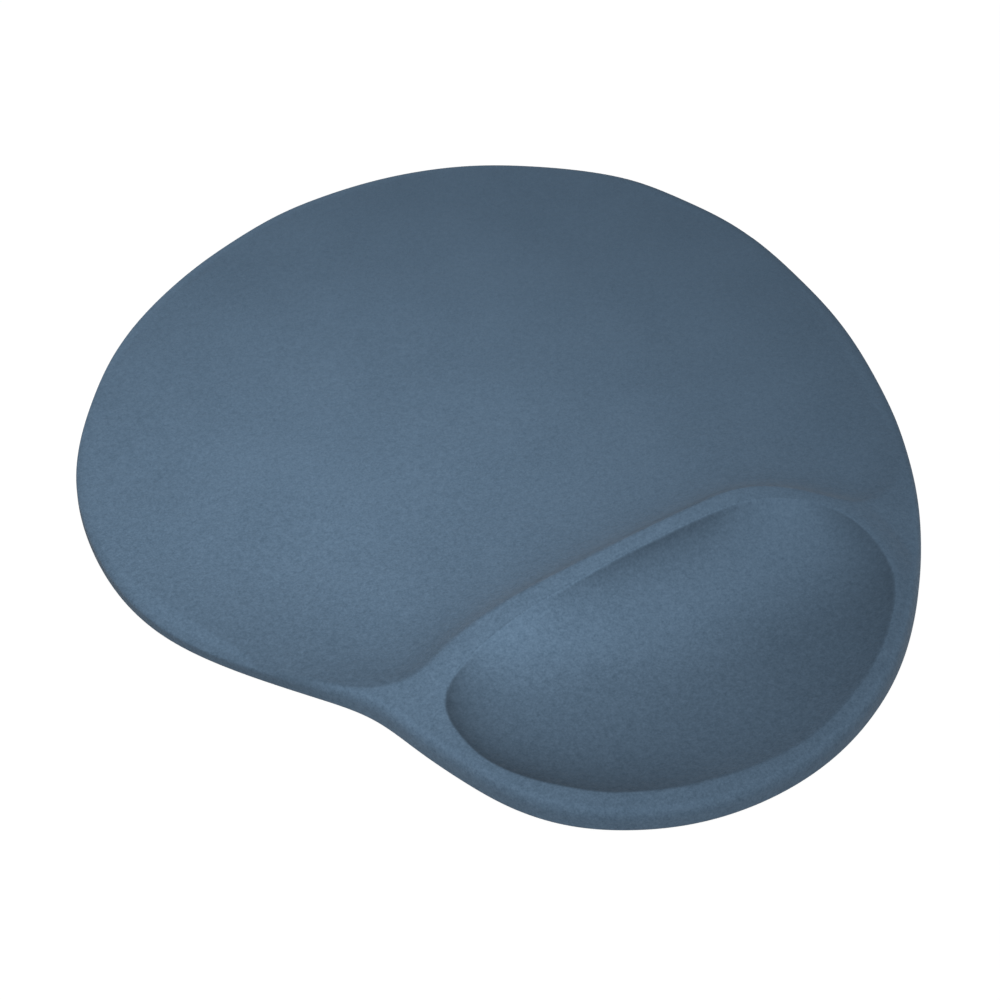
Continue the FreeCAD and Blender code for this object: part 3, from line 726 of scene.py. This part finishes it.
def knit_material():
    """Slate blue brushed knit, flecked by the yarn."""
    wale, course = 0.42, 0.34                # stitch size along x and along y
    pull = 1.6                               # how far the stitch rows wander
    deep = (0.0800, 0.1370, 0.2060, 1.0)
    pale = (0.1410, 0.2240, 0.3260, 1.0)
    material, g = new_material("slate_blue_knit")
    coords = g.mm_coords()
    xyz = g.split(coords)
    wander = g.times(g.noise(coords, scale=0.55), pull)
    wave_x, wave_y = [
        g.math("SINE", g.times(g.plus(along, wander), 2 * math.pi / size))
        for along, size in ((xyz[0], wale), (xyz[1], course))]
    stitch = g.times(wave_x, wave_y)
    fine = g.noise(coords, scale=1.75, detail=3.0, rough=0.62)
    fleck = g.noise(coords, scale=0.75, rough=0.55)
    dye = g.noise(coords, scale=0.045)

    # painted raking light, the yarn showing a little more towards -x -y: slope per millimetre, then
    # its limits
    raking_light_contrast = g.plus(g.times(g.plus(xyz[0], xyz[1]), -0.0045), 1.08)
    raking_light_contrast = g.math("MINIMUM", g.math("MAXIMUM", raking_light_contrast, 0.5), 1.4)
    # shares of the fine grain, fleck, uneven dye and stitches in the colour
    yarn = g.plus(g.times(g.minus(fine, 0.5), 1.15), g.times(g.minus(fleck, 0.5), 0.7))
    tone = g.plus(g.times(yarn, raking_light_contrast), 0.5)
    tone = g.plus(tone, g.times(g.minus(dye, 0.5), 0.35))
    tone = g.plus(tone, g.times(stitch, 0.06), clamp=True)
    # painted shade and painted highlight: the per-point attribute read here scales the knit colour
    painted_shading = g.add("ShaderNodeAttribute", attribute_name="painted_shading").outputs["Fac"]
    colour = g.scaled(g.mix_colour(tone, deep, pale), painted_shading)

    # shares of the fine grain, stitches and fleck in the relief
    relief = g.plus(g.times(fine, 0.9), g.times(stitch, 0.22))
    relief = g.plus(relief, g.times(fleck, 0.5))
    shader = g.add("ShaderNodeBsdfPrincipled", {
        "Roughness": 0.9,                    # about the mean of the grain linked below
        "Specular IOR Level": 0.22,
        "Sheen Weight": 0.16,
        "Sheen Roughness": 0.45,
        "Sheen Tint": (0.80, 0.90, 1.0, 1.0),
        "Base Color": colour,
        "Normal": g.bump(relief, strength=0.55, distance=0.00022),
    })
    roughness = g.plus(g.times(fine, 0.14), 0.82)
    g.tree.links.new(roughness, shader.inputs["Roughness"])
    g.surface(shader)
    return material


def plain_material(name, dark, light, scale, rough, spec, bump_mm, coat=0.0, cells=False):
    """Noise-mottled polymer, or foam cells: colour, roughness and relief all vary."""
    material, g = new_material(name)
    coords = g.mm_coords()
    grain = g.noise(coords, scale, detail=3.0, rough=0.6)
    if cells:
        cell = g.add("ShaderNodeTexVoronoi", {"Scale": scale * 0.9, "Vector": coords})
        height = g.plus(grain, cell.outputs["Distance"])
        tone = g.times(cell.outputs["Distance"], 0.8, clamp=True)
    else:
        height = grain
        blotch = g.noise(coords, scale * 0.08)
        tone = g.plus(g.times(grain, 0.75), g.times(blotch, 0.4), clamp=True)
    rough_spread = 0.18
    g.surface(g.add("ShaderNodeBsdfPrincipled", {
        "Specular IOR Level": spec,
        "Coat Weight": coat,
        "Roughness": g.plus(g.times(grain, rough_spread), rough - rough_spread / 2),
        "Base Color": g.mix_colour(tone, (*dark, 1), (*light, 1)),
        "Normal": g.bump(height, strength=0.6, distance=bump_mm * MM),
    }))
    return material


knit = knit_material()
rubber = plain_material("black_grip_rubber", (0.016, 0.017, 0.019), (0.052, 0.054, 0.058),
                        scale=1.6, rough=0.72, spec=0.35, bump_mm=0.06)
foam = plain_material("moulded_foam", (0.16, 0.16, 0.165), (0.34, 0.34, 0.35),
                      scale=1.2, rough=0.9, spec=0.15, bump_mm=0.15, cells=True)
gel = plain_material("gel", (0.30, 0.42, 0.55), (0.52, 0.64, 0.76),
                     scale=0.12, rough=0.18, spec=0.5, bump_mm=0.02, coat=0.4)
film = plain_material("clear_pu_film", (0.55, 0.58, 0.60), (0.75, 0.78, 0.80),
                      scale=0.4, rough=0.28, spec=0.5, bump_mm=0.02, coat=0.2)
backing = plain_material("laminate_film", (0.42, 0.45, 0.48), (0.60, 0.63, 0.66),
                         scale=0.8, rough=0.45, spec=0.4, bump_mm=0.03)
glue = plain_material("adhesive", (0.55, 0.50, 0.36), (0.72, 0.67, 0.52),
                      scale=0.5, rough=0.40, spec=0.45, bump_mm=0.04)

cover.data.materials.append(knit)
base.data.materials.append(rubber)
for piece_name, piece_material in (
        ("foam_body", foam), ("gel_fill", gel), ("gel_pouch_top_film", film),
        ("gel_pouch_bottom_film", film), ("cover_backing_film", backing),
        ("base_adhesive_film", glue), ("cover_cloth", knit), ("antislip_base", rubber)):
    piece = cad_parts[piece_name]
    if not piece.material_slots:
        piece.data.materials.append(piece_material)
    for material_slot in piece.material_slots:
        material_slot.material = piece_material


# ------------------------------------------------------------------------- painted shading
def dish_painted_shading(points, from_lip):
    """Painted shading in the dish: painted shade just inside the lip, painted highlight towards the
    far side.
    """
    x, y = points[:, 0], points[:, 1]
    # painted shading that slants across the dish, lighter towards -x +y
    slant = np.clip((-0.75 * x + 0.66 * (y + 78.0)) / 45.0, -1, 1)
    # painted highlight, lighter towards +y, away from the -x -y corner
    far = ramp(y, start=-85.0, length=28.0) \
        * ramp(0.515 * x + 0.857 * y, start=-82.0, length=24.0)
    lip_shade = np.clip(ThinPlate(LIP_SHADE)(points), 0, 0.65)
    reach = np.clip(ThinPlate(REACH)(points), 4, 26)
    return 0.87 + 0.06 * slant + 0.30 * far \
        - lip_shade * np.exp(-from_lip / reach) * ramp(from_lip, length=0.7)


def painted_shading_values(points):
    """Colour factor of the knit, per point, that paints in shade and highlight."""
    x, y = points[:, 0], points[:, 1]
    in_dish = inside(points, lip)
    from_lip = segment_distance(points, lip)
    from_crest = segment_distance(points, crest[::2], closed=False)
    from_edge = segment_distance(points, outline[::12])
    painted_shading = np.ones(len(points))
    painted_shading[in_dish] = dish_painted_shading(points[in_dish], from_lip[in_dish])

    raised = (~in_dish) & (rim_height(points) > 5.5)
    beyond = inside(points, pad_region)
    # rim: painted highlight along the lip on its +y and -x parts, a little painted shade at the -y
    # end
    rim = raised & ~beyond
    painted_shading[rim] += 0.10 * np.exp(-from_lip[rim] / 5.0) * ramp(from_lip[rim], length=0.6) \
        * ramp(y[rim], start=-68.0, length=16.0) \
        * (1 - ramp(x[rim], start=35.0, length=25.0)) \
        - 0.03 * ramp(-y[rim], start=66.0, length=10.0)
    # slope down to the pad: painted shade, darkest near x = -62
    slope = raised & beyond
    painted_shading[slope] -= (0.06 + 0.18 * np.exp(-((x[slope] + 62.0) / 22.0) ** 2)) \
        * np.exp(-(from_crest[slope] - 4.0).clip(0) / 12.0) \
        * ramp(from_crest[slope], length=1.5)
    # painted shade in a patch by the -x edge of the pad
    painted_shading -= 0.08 * np.exp(-((x + 84.0) ** 2 + (y + 18.0) ** 2) / 450.0)
    # side wall: painted shade along the flat pad, painted highlight round the heel
    painted_shading *= 1.0 + (0.22 * heel_share(points) - 0.10) \
        * (1 - ramp(from_edge, start=1.0, length=1.6))
    return painted_shading


# store the painted shade and highlight factor on the cover's points
coordinates = np.empty(len(cover.data.vertices) * 3, np.float32)
cover.data.vertices.foreach_get("co", coordinates)
cover_xy = coordinates.reshape(-1, 3)[:, :2].astype(float) * 1000.0
painted_shading_attribute = cover.data.attributes.new("painted_shading", "FLOAT", "POINT")
painted_shading_attribute.data.foreach_set("value", painted_shading_values(cover_xy).astype(np.float32))

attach(cover, "root")
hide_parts("cover_cloth")
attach(base, "root")
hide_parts("antislip_base")

# ----------------------------------------------------------------------- stage
FLOOR_HALF, FLOOR_Z = 3, -0.0002             # metres
FLOOR_SEEN, FLOOR_GLOW = 0.97, 0.40          # emission to the camera, to all other rays
WHITE = (1, 1, 1, 1)


def make_floor():
    """Pale glowing floor, clear from below and to shadow rays."""
    mesh = bpy.data.meshes.new("floor")
    corners = [(x * FLOOR_HALF, y * FLOOR_HALF, FLOOR_Z)
               for x, y in ((-1, -1), (1, -1), (1, 1), (-1, 1))]
    mesh.from_pydata(corners, [], [(0, 1, 2, 3)])
    floor = bpy.data.objects.new("floor", mesh)
    bpy.context.scene.collection.objects.link(floor)
    material, g = new_material("pale_floor")
    ray = g.add("ShaderNodeLightPath").outputs
    facing = g.add("ShaderNodeNewGeometry").outputs
    diffuse = g.add("ShaderNodeBsdfDiffuse", {"Color": (0.10, 0.10, 0.10, 1)})
    glow = g.plus(g.times(ray["Is Camera Ray"], FLOOR_SEEN - FLOOR_GLOW), FLOOR_GLOW)
    emission = g.add("ShaderNodeEmission", {"Color": WHITE, "Strength": glow})
    solid = g.add("ShaderNodeAddShader", {0: diffuse.outputs[0], 1: emission.outputs[0]})
    clear = g.add("ShaderNodeBsdfTransparent")
    g.surface(g.add("ShaderNodeMixShader", {
        0: g.math("MAXIMUM", facing["Backfacing"], ray["Is Shadow Ray"]),
        1: solid.outputs[0],
        2: clear.outputs[0],
    }))
    mesh.materials.append(material)
    return floor


def make_world():
    """Dim sky; near the horizon the camera alone sees white, carrying on the floor."""
    world = bpy.data.worlds.new("studio")
    bpy.context.scene.world = world
    world.use_nodes = True
    g = Graph(world.node_tree, "ShaderNodeOutputWorld")
    sky = g.add("ShaderNodeBackground", {0: (0.93, 0.96, 1.0, 1), 1: 0.10})
    paper = g.add("ShaderNodeBackground", {0: WHITE, 1: 1.0})
    direction = g.split(g.add("ShaderNodeTexCoord").outputs["Generated"])
    fade = g.add("ShaderNodeMapRange", {
        "From Min": 0.25, "From Max": 0.45, "To Min": 1.0, "To Max": 0.0,
        "Value": direction["Z"],
    })
    ray = g.add("ShaderNodeLightPath").outputs
    g.surface(g.add("ShaderNodeMixShader", {
        0: g.times(fade.outputs["Result"], ray["Is Camera Ray"]),
        1: sky.outputs[0],
        2: paper.outputs[0],
    }))


make_floor()
make_world()

# ---------------------------------------------------------------------- lights
# the camera's azimuth and elevation, and its ground axes: right, away and up
AZIMUTH, ELEVATION = math.radians(-31.0), math.radians(45.5)
RIGHT = np.array([math.cos(AZIMUTH), math.sin(AZIMUTH), 0.0])
AWAY = np.array([-math.sin(AZIMUTH), math.cos(AZIMUTH), 0.0])
UP = np.array([0.0, 0.0, 1.0])
# pool of light on the pad: centre (right, away) and radius in millimetres, share far off
POOL = dict(centre=(-60, -25), reach=125, low=0.45)


def beam(azimuth, elevation):
    """Direction in degrees: azimuth 0 is right, 90 away from the camera."""
    around, above = math.radians(azimuth), math.radians(elevation)
    return (math.cos(around) * math.cos(above), math.sin(around) * math.cos(above),
            math.sin(above))


def lamp(name, direction, distance, size, power, colour=(1, 1, 1)):
    """Soft round lamp aimed at the origin from a direction (right, away, up)."""
    toward = direction[0] * RIGHT + direction[1] * AWAY + direction[2] * UP
    toward = toward / np.linalg.norm(toward)
    light = bpy.data.lights.new(name, "AREA")
    light.shape = "DISK"
    light.size = size
    light.energy = power
    light.color = colour
    obj = bpy.data.objects.new(name, light)
    bpy.context.scene.collection.objects.link(obj)
    obj.location = Vector(toward * distance)
    obj.rotation_euler = Vector(toward).to_track_quat("Z", "Y").to_euler()
    return obj


def graduate(light, centre, reach, low):
    """Make the beam strongest at centre on the table and low far from it."""
    aim_z = 0.006                            # metres, the level where the pool is measured
    light.use_nodes = True
    g = Graph(light.node_tree, "ShaderNodeOutputLight")
    geometry = g.add("ShaderNodeNewGeometry").outputs
    position = g.split(geometry["Position"])
    incoming = g.split(geometry["Incoming"])
    travel = g.math("DIVIDE", g.minus(aim_z, position[2]), incoming[2])
    centre = centre[0] * RIGHT + centre[1] * AWAY
    squares = []
    for k in (0, 1):
        landing = g.plus(position[k], g.times(incoming[k], travel))
        offset = g.minus(landing, float(centre[k]) * MM)
        squares.append(g.times(offset, offset))
    pool = g.math("EXPONENT", g.times(g.plus(*squares), -1.0 / (reach * MM) ** 2))
    strength = g.plus(g.times(pool, 1.0 - low), low)
    g.surface(g.add("ShaderNodeEmission", {"Strength": strength}))


key = lamp("key", beam(azimuth=275, elevation=51), distance=1.5, size=0.5, power=13.2,
           colour=(1.0, 0.985, 0.96))
graduate(key.data, **POOL)
top = lamp("top", (-0.08, 0.10, 1), distance=1.5, size=0.6, power=10.5)
graduate(top.data, **POOL)
# lights the base sheet only, so that its grip dots can be seen from below
under = lamp("under", beam(azimuth=240, elevation=-24), distance=1.2, size=0.25, power=16.0)
lit = bpy.data.collections.new("lit_from_below")
lit.objects.link(base)
under.light_linking.receiver_collection = lit

bpy.context.scene.view_settings.view_transform = "Standard"
bpy.context.scene.view_settings.look = "None"

# ---------------------------------------------------------------------- camera
CAMERA_AIM = Vector((-0.00500139, -0.00053568, 0.0))     # metres
CAMERA_DISTANCE = 1.00096                                # metres

camera_data = bpy.data.cameras.new("camera")
camera_data.sensor_width = 36.0
camera_data.lens = 144.0
camera_data.clip_start = 0.01
camera_data.clip_end = 50.0
camera = bpy.data.objects.new("camera", camera_data)
bpy.context.scene.collection.objects.link(camera)
back = Vector((math.sin(AZIMUTH) * math.cos(ELEVATION),
               -math.cos(AZIMUTH) * math.cos(ELEVATION), math.sin(ELEVATION)))
camera.location = CAMERA_AIM + back * CAMERA_DISTANCE
camera.rotation_euler = back.to_track_quat("Z", "Y").to_euler()
bpy.context.scene.camera = camera

bpy.context.view_layer.update()
